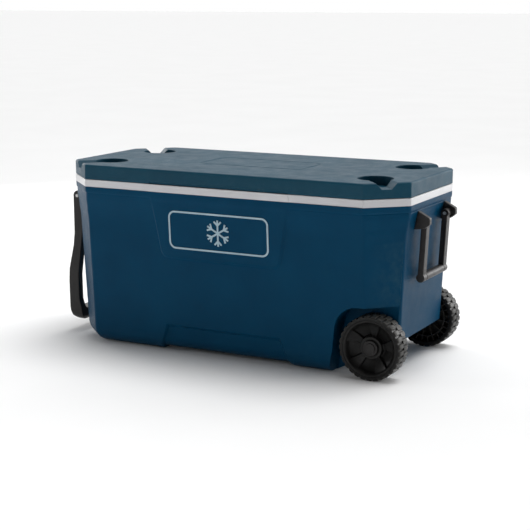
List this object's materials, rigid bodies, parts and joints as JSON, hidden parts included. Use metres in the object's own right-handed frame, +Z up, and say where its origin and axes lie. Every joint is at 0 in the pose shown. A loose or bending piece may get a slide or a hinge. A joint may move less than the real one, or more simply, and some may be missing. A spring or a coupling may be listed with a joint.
{
  "type": "wheeled cooler",
  "caption": "Insulated hard cooler with hinged lid, cup holders, tow handle, side carry handle and two wheels on an axle.",
  "frame": {"origin": "middle of the overall box, on the ground", "axes": "+X along the length towards the wheels and carry handle, -Y the badged front, +Y the hinge side, +Z up"},
  "size_m": [0.997, 0.4453, 0.458],
  "materials": {
    "navy_shell": "grained moulded plastic, petrol blue",
    "white_liner": "smooth off-white plastic",
    "foam": "rigid insulation foam",
    "pale_badge": "satin pale blue relief",
    "black_plastic": "satin black plastic",
    "wheel_plastic": "hard black moulded wheel plastic",
    "steel": "zinc plated steel",
    "seal": "soft seal rubber"
  },
  "bodies": {
    "cooler_body": {"outer_shell": "navy_shell", "foam_floor": "foam", "foam_side_walls": "foam", "foam_end_walls": "foam", "foam_corners": "foam", "foam_wheel_block": "foam", "inner_liner": "white_liner", "badge": "pale_badge", "hinge_body_leaves": "white_liner", "hinge_pins": "steel", "hinge_body_screws": "steel", "axle": "steel", "axle_bushes": "black_plastic", "axle_washers": "steel", "axle_caps": "black_plastic", "tow_brackets": "black_plastic", "tow_pins": "steel", "tow_bracket_screws": "steel", "carry_brackets": "black_plastic", "carry_pins": "steel", "carry_bracket_screws": "steel", "drain_fitting": "white_liner", "drain_gasket": "seal", "drain_nut": "white_liner"},
    "lid": {"lid_shell": "navy_shell", "lid_foam": "foam", "lid_liner": "white_liner", "hinge_lid_leaves": "white_liner", "hinge_lid_screws": "steel"},
    "front_wheel": {"wheel_front": "wheel_plastic"},
    "rear_wheel": {"wheel_rear": "wheel_plastic"},
    "tow_bail": {"tow_handle": "black_plastic"},
    "carry_bail": {"carry_handle": "black_plastic", "carry_grip": "black_plastic"},
    "drain_stopper": {"drain_plug": "black_plastic"}
  },
  "joints": [
    {"name": "lid_hinge", "type": "hinge", "parent": "cooler_body", "child": "lid", "pos_m": [0.009, 0.21765, 0.4215], "axis": [-1, 0, 0], "range_deg": [0, 100]},
    {"name": "front_wheel_spin", "type": "hinge", "parent": "cooler_body", "child": "front_wheel", "pos_m": [0.399, -0.17515, 0.076], "axis": [0, 1, 0], "continuous": true},
    {"name": "rear_wheel_spin", "type": "hinge", "parent": "cooler_body", "child": "rear_wheel", "pos_m": [0.399, 0.16485, 0.076], "axis": [0, 1, 0], "continuous": true},
    {"name": "tow_handle_swing", "type": "hinge", "parent": "cooler_body", "child": "tow_bail", "pos_m": [-0.465, -0.00515, 0.36], "axis": [0, 1, 0], "range_deg": [0, 130]},
    {"name": "carry_handle_swing", "type": "hinge", "parent": "cooler_body", "child": "carry_bail", "pos_m": [0.479, -0.00515, 0.36], "axis": [0, -1, 0], "range_deg": [0, 95]},
    {"name": "drain_plug_pull", "type": "slide", "parent": "cooler_body", "child": "drain_stopper", "axis": [-1, 0, 0], "range_m": [0, 0.03]}
  ]
}
